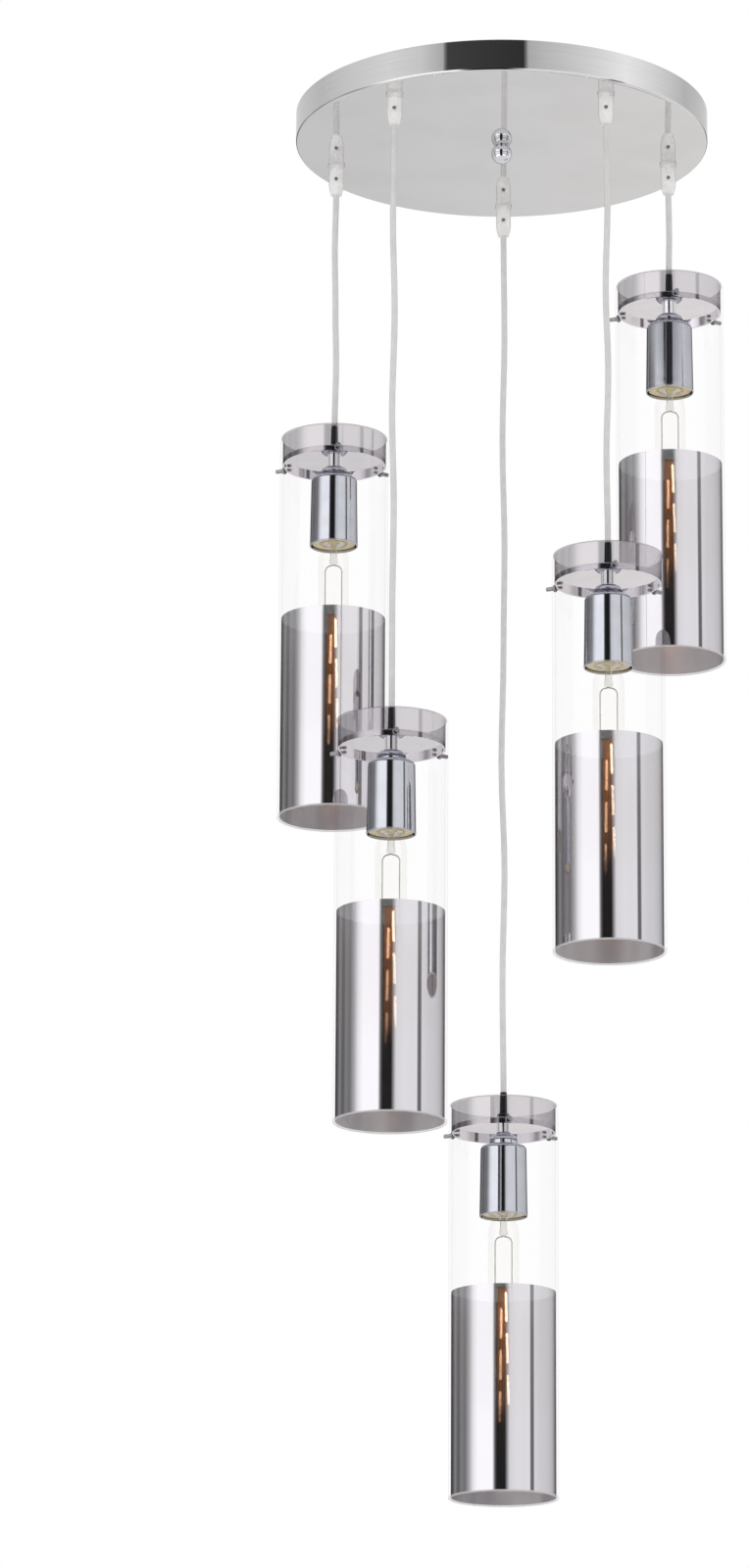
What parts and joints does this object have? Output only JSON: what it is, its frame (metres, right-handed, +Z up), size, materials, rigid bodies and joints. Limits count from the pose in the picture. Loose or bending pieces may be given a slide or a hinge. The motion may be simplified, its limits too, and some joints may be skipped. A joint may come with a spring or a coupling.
{
  "type": "cluster pendant light",
  "caption": "Cluster pendant light: open glass cylinders, mirror coated below, with tube bulbs, hung at stepped heights on clear cords from a round chrome ceiling canopy.",
  "frame": {"origin": "on the ceiling, over the middle of the canopy, midway between the two ceiling screws", "axes": "+Z up along the canopy's axis, -Y to the front of the light as pictured, +X to its right"},
  "size_m": [0.4358, 0.4246, 1.328],
  "materials": {
    "canopy_chrome": "polished",
    "ball_chrome": "polished",
    "bracket": "zinc plated",
    "steel": "zinc plated",
    "box": "matte",
    "clear_grip": "clear",
    "dark_screw": "blackened",
    "clear_cord": "clear",
    "black_plastic": "satin",
    "carrier_chrome": "polished",
    "screw_chrome": "polished",
    "holder_chrome": "polished",
    "socket": "matte",
    "shade_glass": "clear with a mirror coat that fades out",
    "bulb_glass": "clear",
    "cap_metal": "satin",
    "filament": "glowing"
  },
  "bodies": {
    "canopy_unit": {"rod_nuts": "steel", "canopy_rod": "steel", "ceiling_bracket": "bracket", "canopy": "canopy_chrome", "ball_nut": "ball_chrome", "terminal_box": "box", "cord_grips": "clear_grip", "grip_lock_nuts": "steel", "grip_screws": "dark_screw", "inner_cord_ends": "clear_cord"},
    "lamp_1": {"cord_1": "clear_cord", "strain_relief_1": "black_plastic", "shade_carrier_1": "carrier_chrome", "thumb_screws_1": "screw_chrome", "lampholder_cup_1": "holder_chrome", "socket_1": "socket", "glass_shade_1": "shade_glass"},
    "bulb_1": {"bulb_glass_1": "bulb_glass", "bulb_cap_1": "cap_metal", "filament_1": "filament"},
    "lamp_2": {"cord_2": "clear_cord", "strain_relief_2": "black_plastic", "shade_carrier_2": "carrier_chrome", "thumb_screws_2": "screw_chrome", "lampholder_cup_2": "holder_chrome", "socket_2": "socket", "glass_shade_2": "shade_glass"},
    "bulb_2": {"bulb_glass_2": "bulb_glass", "bulb_cap_2": "cap_metal", "filament_2": "filament"},
    "lamp_3": {"cord_3": "clear_cord", "strain_relief_3": "black_plastic", "shade_carrier_3": "carrier_chrome", "thumb_screws_3": "screw_chrome", "lampholder_cup_3": "holder_chrome", "socket_3": "socket", "glass_shade_3": "shade_glass"},
    "bulb_3": {"bulb_glass_3": "bulb_glass", "bulb_cap_3": "cap_metal", "filament_3": "filament"},
    "lamp_4": {"cord_4": "clear_cord", "strain_relief_4": "black_plastic", "shade_carrier_4": "carrier_chrome", "thumb_screws_4": "screw_chrome", "lampholder_cup_4": "holder_chrome", "socket_4": "socket", "glass_shade_4": "shade_glass"},
    "bulb_4": {"bulb_glass_4": "bulb_glass", "bulb_cap_4": "cap_metal", "filament_4": "filament"},
    "lamp_5": {"cord_5": "clear_cord", "strain_relief_5": "black_plastic", "shade_carrier_5": "carrier_chrome", "thumb_screws_5": "screw_chrome", "lampholder_cup_5": "holder_chrome", "socket_5": "socket", "glass_shade_5": "shade_glass"},
    "bulb_5": {"bulb_glass_5": "bulb_glass", "bulb_cap_5": "cap_metal", "filament_5": "filament"}
  },
  "joints": [
    {"name": "swing_1", "type": "hinge", "parent": "canopy_unit", "child": "lamp_1", "pos_m": [0.16263, 0.05284, -0.058], "axis": [0.309, -0.9511, 0], "range_deg": [-4, 8]},
    {"name": "bulb_1_unscrew", "type": "slide", "parent": "lamp_1", "child": "bulb_1", "axis": [0, 0, -1], "range_m": [0, 0.03]},
    {"name": "swing_2", "type": "hinge", "parent": "canopy_unit", "child": "lamp_2", "pos_m": [-0.16263, 0.05284, -0.058], "axis": [0.309, 0.9511, 0], "range_deg": [-4, 8]},
    {"name": "bulb_2_unscrew", "type": "slide", "parent": "lamp_2", "child": "bulb_2", "axis": [0, 0, -1], "range_m": [0, 0.03]},
    {"name": "swing_3", "type": "hinge", "parent": "canopy_unit", "child": "lamp_3", "pos_m": [0.10051, -0.13834, -0.058], "axis": [-0.809, -0.5878, 0], "range_deg": [-4, 8]},
    {"name": "bulb_3_unscrew", "type": "slide", "parent": "lamp_3", "child": "bulb_3", "axis": [0, 0, -1], "range_m": [0, 0.03]},
    {"name": "swing_4", "type": "hinge", "parent": "canopy_unit", "child": "lamp_4", "pos_m": [-0.10051, -0.13834, -0.058], "axis": [-0.809, 0.5878, 0], "range_deg": [-4, 8]},
    {"name": "bulb_4_unscrew", "type": "slide", "parent": "lamp_4", "child": "bulb_4", "axis": [0, 0, -1], "range_m": [0, 0.03]},
    {"name": "swing_5", "type": "hinge", "parent": "canopy_unit", "child": "lamp_5", "pos_m": [0, 0.171, -0.058], "axis": [1, 0, 0], "range_deg": [-4, 8]},
    {"name": "bulb_5_unscrew", "type": "slide", "parent": "lamp_5", "child": "bulb_5", "axis": [0, 0, -1], "range_m": [0, 0.03]}
  ]
}
